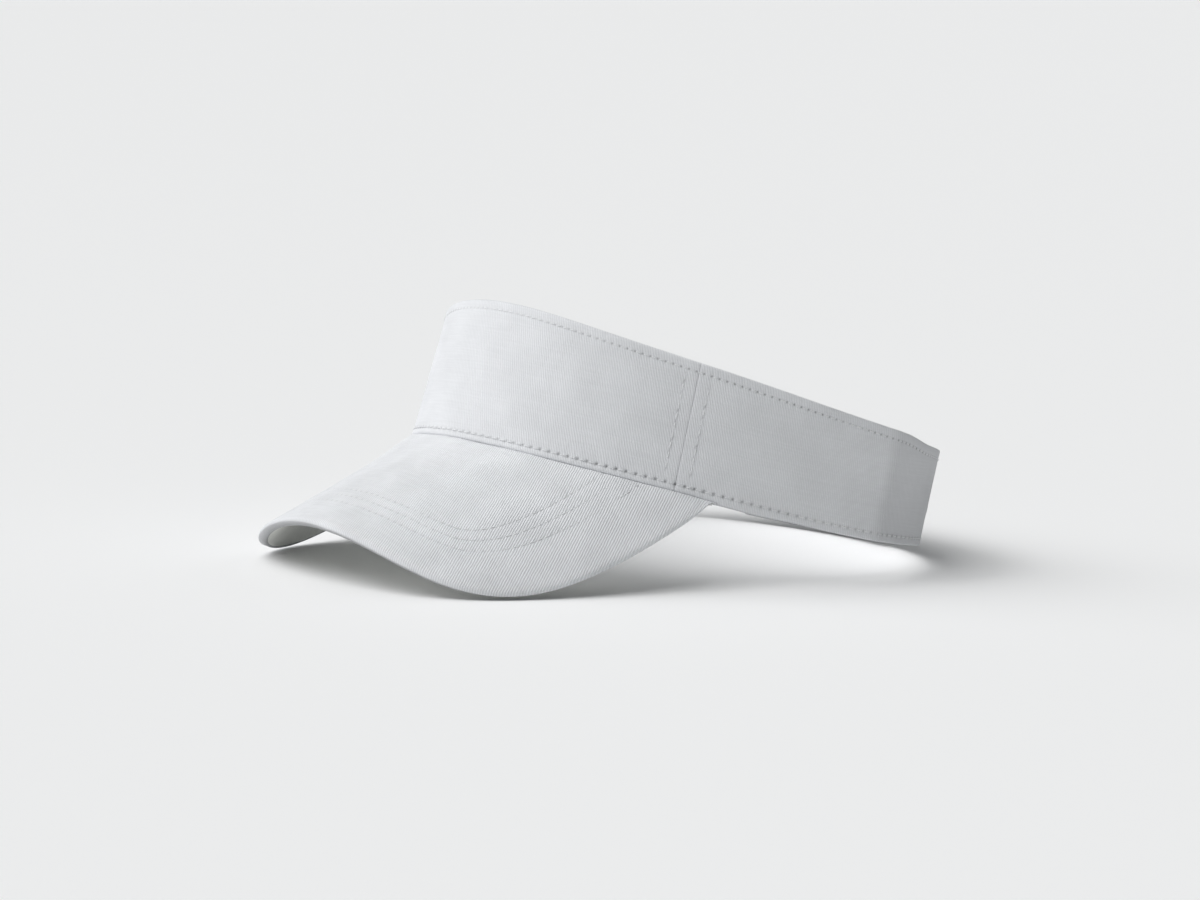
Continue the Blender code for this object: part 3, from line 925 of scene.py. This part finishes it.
def face_depth(reach):
    """The bill's top face: pressed up against the band's hem, lower further out."""
    return (BILL_FACE + 0.35 * MM) * smooth_step(reach / (22 * MM)) - 0.35 * MM


def underside_depth(reach):
    return BILL_UNDERSIDE - BILL_TAPER * (1 - smooth_step(reach / (7 * MM)))


def full_thickness(length):
    """0 at the bill's corners, where the spokes are short, and 1 over the rest of it."""
    return smooth_step((length - 4 * MM) / (9 * MM))


def pinch(length):
    """The bill's layers are pressed together where they run out at its corners."""
    return 0.45 + 0.55 * full_thickness(length)


def rim_profile(length, shrink):
    """The cover's turn round the rim on spokes of given lengths: (insets, depths) row by row.

    The edge juts out most near the top, and the cloth slopes back in below it. shrink is how
    far inside the cloth's outer face the rows lie.
    """
    thick = (underside_depth(length) - face_depth(length)) * pinch(length)
    proud = RIM_PROUD * smooth_step(length / (9 * MM))
    reach, drop = np.minimum(1.5 * MM, 0.5 * thick), 0.34 * thick
    corner = np.minimum(0.8 * MM, 0.3 * thick)
    back = 0.9 * MM * smooth_step(length / (12 * MM))
    rows = []
    for turn in np.linspace(0, math.pi / 2, 9)[1:]:
        inset = reach - (reach - shrink) * math.sin(turn)
        rows.append((inset, drop - (drop - shrink) * math.cos(turn)))
    for share in (0.5, 1.0):
        rows.append((shrink + back * share, drop + (thick - corner - drop) * share))
    for turn in np.linspace(0, math.pi / 2, 6)[1:]:
        inset = back + corner - (corner - 0.7 * shrink) * math.cos(turn)
        rows.append((inset, thick - corner + (corner - 0.7 * shrink) * math.sin(turn)))
    rows.append((back + corner + 0.5 * MM, thick - 0.7 * shrink))
    return [(inset - proud, face_depth(length) + depth) for inset, depth in rows]


def top_cover_points(grid, insets, count, shrink):
    """Rows of the top cover from the band out, round the rim and under: (q, depth)."""
    flat_q = spokes(grid, insets, count)
    rim = rim_profile(grid.length, shrink)
    widest = np.argmin([inset[len(inset) // 2] for inset, _ in rim])
    q = list(flat_q)
    for number, (inset, _) in enumerate(rim):
        here = grid.q_at(inset)
        q.append(np.maximum(here, q[-1] + 1e-4) if number <= widest else here)
    depth = [face_depth(row * grid.length) + shrink for row in flat_q]
    return np.array(q), np.array(depth + [depth for _, depth in rim]), len(flat_q)


def tucked(grid, depths, drop, shifts, points, uv):
    """Adds the rows that carry a bill layer in under the band's folded edge."""
    t = grid.share * BILL_CORNER_T
    rows = [band_at(t, -drop + 0 * t, -depth + 0 * t) for depth in depths]
    shift = np.array([[(0, shift)] for shift in shifts])
    return np.concatenate([rows, points]), np.concatenate([uv[:1] + shift, uv])


def bill_top():
    """The top cover, with its rolled rim."""
    fine, coarse = BillGrid(0.45 * MM), BillGrid(1.8 * MM)
    insets = np.concatenate([np.arange(26.0, 6.0, -0.42), np.arange(6.0, 1.2, -0.6)]) * MM
    q, depth, flat = top_cover_points(fine, insets, 46, 0.0)
    x, s, _ = bill_flat(fine.share, q)
    out, hole_and_painted_shade = bill_relief(x[:flat], s[:flat], 1.0)
    rest = len(q) - flat
    out = np.concatenate([out, out[-1:] * np.linspace(1, 0, rest)[:, None]])
    # The seam along the rim's lower edge is darkened in colour: painted shade where the cloth turns
    # under.
    painted_shade = 0.55 * smooth_step((np.arange(rest) - 5.5) / 4.5)[:, None]
    hole_and_painted_shade = np.concatenate([hole_and_painted_shade, painted_shade * smooth_step((fine.length - 4 * MM) / (14 * MM))])
    face = bill_at(fine.share, q, depth - out)
    uv = cover_uv(x, s)
    # Past the rim the pattern runs on, so that the weave isn't mirrored there.
    steps = np.linalg.norm(np.diff(face, axis=0), axis=2)[flat - 1 :]
    run = np.cumsum(steps, axis=0)[..., None] * unit(uv[flat - 1] - uv[flat - 6])
    uv[flat:] = uv[flat - 1] + run
    depths = (2.6 * MM, 1.6 * MM, 0.6 * MM)
    face, uv = tucked(fine, depths, 0.0, (3e-3, 2e-3, 1e-3), face, uv)
    hole_and_painted_shade = np.pad(hole_and_painted_shade, ((3, 0), (0, 0)))
    q, depth, _ = top_cover_points(coarse, np.array([20.0, 10.0, 5.0, 2.6]) * MM, 8, 0.45 * MM)
    x, s, _ = bill_flat(coarse.share, q)
    back = bill_at(coarse.share, q, depth)
    depths = (2.6 * MM, 1.0 * MM)
    back, back_uv = tucked(coarse, depths, 0.5 * MM, (0, 0), back, cover_uv(x, s))
    top = cloth("bill_top_cloth", face, uv, back, back_uv, BILL_TWILL, hole_and_painted_shade, 100)
    nodes = ["bill_top_cover"]
    declare(top, nodes)


def row_phase(x, s, inset):
    """Stitch count along a bill row, from its middle."""
    row = ROWS[inset]
    place = nearest_on(row["flat"], x, s)[1]
    return np.interp(place, np.arange(len(row["arc"])), row["arc"]) / BILL_PITCH


def trace_row(grid, inset):
    """The line on the bill that is so far inside its outer edge, as flat and solid points."""
    q = grid.q_at(inset)
    share, q = grid.share[q > 0], q[q > 0]
    x, s, _ = bill_flat(share, q)
    points = bill_at(share, q, BILL_FACE + 0 * q)
    arc = np.concatenate([[0], np.cumsum(np.linalg.norm(np.diff(points, axis=0), axis=1))])
    arc = arc - np.interp(0, share, arc)
    return {"flat": np.stack([x, s], -1), "share": share, "q": q, "arc": arc}


ROW_GRID = BillGrid(0.6 * MM)
ROWS = {inset: trace_row(ROW_GRID, inset) for inset in BILL_INSETS}


def bill_bottom():
    """The bottom cover: it rises to the seam at the band, and tucks in at the rim."""
    insets = np.concatenate([np.arange(26.0, 3.0, -0.8), [2.6, 2.1, 1.7, 1.4, 1.2]]) * MM

    def layer(grid, insets, count, extra, strength):
        q = spokes(grid, insets, count)
        x, s, _ = bill_flat(grid.share, q)
        out, hole_and_painted_shade = bill_relief(x, s, strength) if strength else (0 * x, 0 * x)
        tuck = 0.55 * MM * (1 - smooth_step((edge_distance(x, s) - 1.0 * MM) / (0.8 * MM)))
        reach, full = from_band(grid.share, x, s), full_thickness(grid.length)
        upper, lower = face_depth(reach), underside_depth(reach)
        depth = upper + (lower - upper) * pinch(grid.length) - extra - tuck * full
        points = bill_at(grid.share, q, depth + out)
        drop = (1.1 + 0.65 * full) * MM - extra
        depths = (3.4 * MM, 1.8 * MM)
        return *tucked(grid, depths, drop, (3e-3, 2e-3), points, cover_uv(x, s)), hole_and_painted_shade

    face, face_uv, hole_and_painted_shade = layer(BillGrid(0.9 * MM), insets, 30, 0.0, 1.6)
    back, back_uv, _ = layer(BillGrid(1.8 * MM), insets[::4], 8, 0.5 * MM, 0)
    hole_and_painted_shade = np.pad(hole_and_painted_shade, ((2, 0), (0, 0)))
    bottom = cloth("bill_bottom_cloth", face, face_uv, back, back_uv, UNDER_TWILL, hole_and_painted_shade)
    nodes = ["bill_bottom_cover"]
    declare(bottom, nodes)


def bill_stiffener():
    """The board between the covers, clear of the band and of the bill's corners."""
    grid = BillGrid(1.2 * MM)
    keep = np.abs(grid.share) < 0.9
    q = spokes(grid, np.array([30, 20, 12, 8, 6, 5, 4, 3.4, 3.0]) * MM, 12)[:, keep]
    share = grid.share[keep]
    x, s, _ = bill_flat(share, q)
    uv = cover_uv(x, s)
    start = 4.5 * MM / np.maximum(from_band(share, *bill_outer(share)), 9 * MM)
    q = start + (q - q[0]) / (q[-1] - q[0]) * (q[-1] - start)
    top = bill_at(share, q, 1.4 * MM + 0 * q)
    low = bill_at(share, q, 2.8 * MM + 0 * q)
    place(cloth("bill_stiffener", top, uv, low, uv, BOARD), "crown", "board", "bill_board")


# ---- stitches ----

THREAD_POINTS = np.linspace(0, 1, 9)
STITCH_SHARE = 0.74  # of the pitch that is thread on the surface
# Height of a stitch above the cloth along it: it dives into a hole at each end.
THREAD_LIFT = (0.13 - 0.42 * np.abs(2 * THREAD_POINTS - 1) ** 5) * MM
THREAD_SIDES = 8


def stitches(name, centres, normals, radius=0.19 * MM):
    """Short lengths of thread. centres is (stitch, point along it, xyz), normals the same."""
    count, along = centres.shape[:2]
    sides = THREAD_SIDES
    forward = np.gradient(centres, axis=1)
    across = unit(np.cross(forward, normals))
    normal = unit(np.cross(across, forward))
    angle = np.linspace(0, 2 * math.pi, sides, endpoint=False)
    size = radius * (1 - 0.45 * np.abs(np.linspace(-1, 1, along)) ** 4)[None, :, None, None]
    ring = (
        across[:, :, None] * np.cos(angle)[None, None, :, None] * 1.15
        + normal[:, :, None] * np.sin(angle)[None, None, :, None] * 0.85
    )
    points = (centres[:, :, None] + ring * size).reshape(-1, 3)
    first = np.arange(count)[:, None] * (along * sides)
    i, j = np.mgrid[0 : along - 1, 0:sides]
    here, after = i * sides + j, i * sides + (j + 1) % sides
    quads = np.stack([here, here + sides, after + sides, after], -1).reshape(-1, 4)
    quads = (first[:, :, None] + quads[None]).reshape(-1, 4)
    start = first + np.arange(sides)
    end = first + (along - 1) * sides + np.arange(sides)[::-1]
    length = np.linalg.norm(np.diff(centres, axis=1), axis=2).sum(1).mean()
    u = np.tile(angle / (2 * math.pi) * 1.2 * MM, count * along)
    v = np.tile(np.repeat(np.linspace(0, length, along), sides), count)
    v = v + np.repeat(np.arange(count), along * sides) * 3 * MM
    return new_object(name, points, [quads, start, end], np.stack([u, v], -1), THREAD, 180)


def stitch_phases(start, end, pitch):
    """Places along a row in stitches, as (stitch, point along it)."""
    first, last = math.ceil(start / pitch), math.floor(end / pitch)
    return np.arange(first, last)[:, None] + 0.5 + (THREAD_POINTS - 0.5) * STITCH_SHARE


def outside(t, h):
    """The outer surface under a thread: the stitch's own dents are left out."""
    return band_relief(t, h)[0] * 0.55 - 0.03 * MM


def edge_row(name, start_t, end_t, height, table, pitch, depth=0.0, sunk=0.0):
    """One row of stitches along an edge of the band."""
    phase = stitch_phases(*sorted((arc_of(start_t, table), arc_of(end_t, table))), pitch)
    t = angle_at(phase * pitch, table)
    h = height(t)
    centres = band_at(t, h, outside(t, h) - at(depth, t) + THREAD_LIFT - sunk)
    return stitches(name, centres, band_frame(t)[2])


def seam_row(name, t0):
    """A row of stitches up the wall beside a seam."""
    height = float(band_height(np.array(t0)))
    h = stitch_phases(3.6 * MM, height - 4.2 * MM, SEAM_PITCH) * SEAM_PITCH
    t = t0 + 0 * h
    centres = band_at(t, h, outside(t, h) + THREAD_LIFT)
    return stitches(name, centres, band_frame(t)[2], 0.17 * MM)


def band_stitching():
    end = CREASE_T - STITCH_BREAK
    for edge, row, sunk in (("top", TOP_EDGE, 0.08 * MM), ("bottom", LOW_EDGE, 0.0)):
        node = f"{edge}_edge_stitching"
        place(edge_row(node + "_thread", -end, end, *row, sunk=sunk), "crown", "thread", node)
    for side, sign in SIDES:
        for where, off in (("front", -SEAM_OFFSET), ("rear", SEAM_OFFSET)):
            t0 = sign * float(angle_at(arc_of(SEAM_T) + off))
            node = f"seam_stitching_{side}_{where}"
            place(seam_row(node + "_thread", t0), "crown", "thread", node)


def bill_stitching():
    for number, inset in enumerate(BILL_INSETS, 1):
        row = ROWS[inset]
        keep = row["q"] > 0.04
        arc, share, q = row["arc"][keep], row["share"][keep], row["q"][keep]
        along = stitch_phases(arc[0], arc[-1], BILL_PITCH) * BILL_PITCH
        share, q = np.interp(along, arc, share), np.interp(along, arc, q)
        x, s, _ = bill_flat(share, q)
        reach = from_band(share, x, s)
        for side, sign, surface in (("top", 1, face_depth), ("under", -1, underside_depth)):
            centres = bill_at(share, q, surface(reach) - sign * (THREAD_LIFT - 0.2 * MM))
            normals = sign * bill_normal(x, s)
            thread = stitches(f"bill_stitching_{number}_{side}", centres, normals, 0.17 * MM)
            nodes = [f"bill_stitching_{number}"] if side == "top" else []
            place(thread, "crown", "thread", *nodes)


# ---- sweatband ----


def sweatband():
    t = columns_between(-SWEATBAND_END_T, SWEATBAND_END_T, 0.7 * MM)
    reach = arc_of(SWEATBAND_END_T) - np.abs(arc_of(t))
    # It thins out towards its ends.
    end = 0.3 + 0.7 * np.sqrt(1 - np.clip(1 - reach / (3 * MM), 0, 1) ** 2)
    base, full = wall_thickness(t) + 0.08 * MM, 3.3 * MM

    def path(inset, shares):
        """Rows of (height, depth) from its low edge up over its face to its top edge."""
        pad = full * end - inset
        low, high = 0.9 * MM + inset, 0.9 * MM + SWEATBAND_HEIGHT - inset
        turns = [(1 - math.sin(a), base + pad * (1 - math.cos(a))) for a in QUARTER_TURN]
        rows = [(low + 1.1 * MM * up, out) for up, out in turns]
        rows += [(low + (high - low) * share, base + pad) for share in shares]
        rows += [(high - 1.5 * MM * up, out) for up, out in turns[::-1]]
        return [np.array([x + 0 * t for x in column]) for column in zip(*rows)]

    h, depth = path(0.0, np.linspace(0.06, 0.94, 34))
    u = arc_of(t) + 0 * h
    puff = 0.18 * MM * soft_noise(u, h, 9 * MM, 31) + 0.07 * MM * soft_noise(u, h, 1.3 * MM, 32)
    shows = np.clip((depth - base) / full, 0, 1)
    valley, dome, hole_and_painted_shade = row_relief(
        h - LOW_INSET, arc_of(t, ARC_LOW) / LOW_PITCH, LOW_PITCH, 3.0 * MM, BIG_HOLE
    )
    row = (valley + dome - 0.34 * MM * hole_and_painted_shade) * 1.5
    face = band_at(t + 0 * h, h, -depth - (puff + row) * shows)
    h2, depth2 = path(0.9 * MM, np.linspace(0.1, 0.9, 6))
    back = band_at(t + 0 * h2, h2, -np.maximum(depth2, base + 0.05 * MM))
    back_uv = grid_uv(arc_of(t), h2)
    band = cloth("sweatband_towelling", face, grid_uv(u, h), back, back_uv, TOWELLING, hole_and_painted_shade * shows)
    nodes = ["sweatband"]
    declare(band, nodes)
    edge = SWEATBAND_END_T - 3.5 * DEG
    t = columns_between(-edge, edge, 1.5 * MM)

    def depth(t):
        return wall_thickness(t) + 0.3 * MM

    foam = band_sheet("sweatband_padding", t, 3.0 * MM, 30 * MM, depth, 1.6 * MM, FOAM)
    place(foam, "crown", "foam", "sweatband_foam")


# ---- closure ----


def strap_cut(end_t):
    """How much a round-cornered strap end takes off each edge, at each angle."""

    def cut(t):
        inside = np.clip(np.abs(arc_of(end_t) - arc_of(t)), 0, STRAP_END_ROUNDING)
        across = (STRAP_END_ROUNDING - inside) ** 2
        return STRAP_END_ROUNDING - np.sqrt(np.maximum(0, STRAP_END_ROUNDING**2 - across))

    return cut


def right_strap_depth(t):
    start, end = RIGHT_STRAP_STEP_T
    return RIGHT_STRAP_DEPTH * smooth_step((t - start) / (end - start))


STRAPS = (
    ("left", 1, LEFT_STRAP_END_T, 0.0, 0.0, 0.170),
    ("right", -1, RIGHT_STRAP_END_T, right_strap_depth, right_strap_hem, 0.161),
)


def strap(side, sign, end_t, depth, hem, length):
    """The strap's cloth and lining. Returns the two ends of its fold line."""

    def total(t):
        from_fold = np.abs(arc_of(t) - arc_of(sign * CREASE_T))
        near = 1 - smooth_step(from_fold / (6 * MM))
        return STRAP_THICK + (LINING_SIDE + LINING_THICK - STRAP_THICK) * near

    def low(t):
        return cut(t) + at(hem, t) + 1.2 * MM

    def high(t):
        return band_height(t) - cut(t) - 1.2 * MM

    def inside(t):
        return at(depth, t) + total(t) - 0.4 * MM

    cut = strap_cut(end_t)
    # The mesh columns are closer together at the rounded end.
    near_end = arc_of(end_t) - sign * np.array((0.22, 0.14, 0.07, 0.03, 0.0)) * MM
    t = np.append(columns_between(sign * CREASE_T, end_t)[:-1], angle_at(near_end))
    name = f"closure_strap_{side}"
    shell = wrapped_panel(
        name + "_cloth", t, total, STRAP_CLOTH, SHADED_STRAP_TWILL, depth, cut, hem, wrap=0.5 * MM
    )
    t = columns_between(sign * CREASE_T, end_t - sign * 0.4 * DEG, 1.0 * MM)
    lining = band_sheet(name + "_lining", t, low, high, inside, 0.4 * MM, LINING)
    fold = band_frame(np.array([sign * (CREASE_T - 1 * DEG), sign * (CREASE_T + 5 * DEG)]))[0]
    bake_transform(shell)
    declare(shell, [name], body=None)
    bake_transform(lining)
    declare(lining, [], body=None)
    return fold


def tape_low(t):
    return TAPE_MARGIN * band_height(t)


def tape_high(t):
    return (1 - TAPE_MARGIN) * band_height(t)


def build_closure():
    folds = [strap(*row) for row in STRAPS]
    for (side, sign, end_t, depth, _, _), fold in zip(STRAPS, folds):
        start = sign * (CREASE_T - STITCH_BREAK)
        stop = float(angle_at(arc_of(end_t) - sign * 8 * MM))
        for edge, row in (("top", TOP_EDGE), ("bottom", LOW_EDGE)):
            thread = edge_row(f"closure_strap_{side}_{edge}_thread", start, stop, *row, depth)
            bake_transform(thread)
    t = columns_between(*HOOK_TAPE_T, 0.8 * MM)
    depth = STRAP_THICK + 0.05 * MM
    hooks = band_sheet("hook_tape_woven", t, tape_low, tape_high, depth, 0.6 * MM, HOOK_BASE)
    declare(
        hooks, ["hook_tape"],
        body="strap_left",
    )
    t = columns_between(*LOOP_TAPE_T, 0.8 * MM)
    depth = RIGHT_STRAP_DEPTH - 1.3 * MM
    loops = band_sheet(
        "loop_tape_woven", t, tape_low, tape_high, depth, 1.2 * MM, LOOPS, rough=0.1 * MM
    )
    declare(
        loops, ["loop_tape"],
        body="strap_right",
    )


# ---- studio ----


def camera():
    """The photograph's viewing angle: from the front left, a little above."""
    azimuth, elevation, roll = 51.121 * DEG, 7.631 * DEG, -1.119 * DEG
    settle = 0.453 * DEG  # how far the visor is turned to rest on the bill's tips
    distance = 1.3391
    back = Vector((math.sin(azimuth) * math.cos(elevation),
                   -math.cos(azimuth) * math.cos(elevation), math.sin(elevation)))
    right = Vector((math.cos(azimuth), math.sin(azimuth), 0))
    up = back.cross(right)
    right, up = (
        right * math.cos(roll) - up * math.sin(roll),
        right * math.sin(roll) + up * math.cos(roll),
    )
    turn = Matrix.Rotation(settle, 3, "X")
    axes = Matrix((turn @ right, turn @ up, turn @ back)).transposed().to_4x4()
    data = bpy.data.cameras.new("camera")
    data.sensor_width = 36
    data.lens = 114.6376728  # mm, for the 36 mm sensor
    data.shift_x, data.shift_y = -0.0324, 0.0321
    data.clip_start, data.clip_end = 0.05, 200
    made = bpy.data.objects.new("camera", data)
    made.matrix_world = Matrix.Translation(Vector(BAND_CENTRE) + turn @ back * distance) @ axes
    bpy.context.scene.collection.objects.link(made)
    bpy.context.scene.camera = made


def soft_light(name, azimuth, elevation, strength):
    """A broad far light. Azimuth 0 is in front of the bill, 90 at +X."""
    a, e = azimuth * DEG, elevation * DEG
    away = Vector((math.sin(a) * math.cos(e), -math.cos(a) * math.cos(e), math.sin(e)))
    data = bpy.data.lights.new(name, "SUN")
    data.angle = 50 * DEG
    data.energy = strength
    made = bpy.data.objects.new(name, data)
    made.location = away
    made.rotation_mode = "QUATERNION"
    made.rotation_quaternion = away.to_track_quat("Z", "Y")
    bpy.context.scene.collection.objects.link(made)


def studio():
    # A round floor that rises very gently far out, so that no horizon shows.
    rings = np.array((0.0, 1.5, 3.0, 5.0, 9.0, 16.0, 30.0, 60.0))[:, None]
    turn = np.linspace(0, 2 * math.pi, 97)
    height = 0.035 * np.maximum(0, rings - 2.0) ** 2 / (rings + 1.0) - 0.0004
    points = np.stack([rings * np.cos(turn), rings * np.sin(turn), height + 0 * turn], -1)
    faces = grid_faces(len(rings), len(turn), 0)[:, ::-1]
    mesh = bpy.data.meshes.new("floor")
    mesh.from_pydata(points.reshape(-1, 3).tolist(), [], faces.tolist())
    mesh.shade_smooth()
    floor = bpy.data.objects.new("floor", mesh)
    bpy.context.scene.collection.objects.link(floor)
    pale = bpy.data.materials.new("pale_floor")
    pale.use_nodes = True
    shader = pale.node_tree.nodes["Principled BSDF"]
    shader.inputs["Base Color"].default_value = (0.94, 0.94, 0.945, 1)
    shader.inputs["Roughness"].default_value = 0.9
    shader.inputs["Specular IOR Level"].default_value = 0.1
    mesh.materials.append(pale)
    world = bpy.data.worlds.new("studio")
    world.use_nodes = True
    world.node_tree.nodes["Background"].inputs[0].default_value = (0.95, 1, 0.99, 1)
    world.node_tree.nodes["Background"].inputs[1].default_value = 0.14
    bpy.context.scene.world = world
    bpy.context.scene.view_settings.view_transform = "Standard"
    soft_light("top_light", 0, 62, 1.38)
    soft_light("key_light", -45, 38, 1.38)
    soft_light("back_light", -120, 62, 0.36)


band_panels()
inner_layers()
bill_top()
bill_bottom()
bill_stiffener()
band_stitching()
bill_stitching()
sweatband()
build_closure()
camera()
studio()
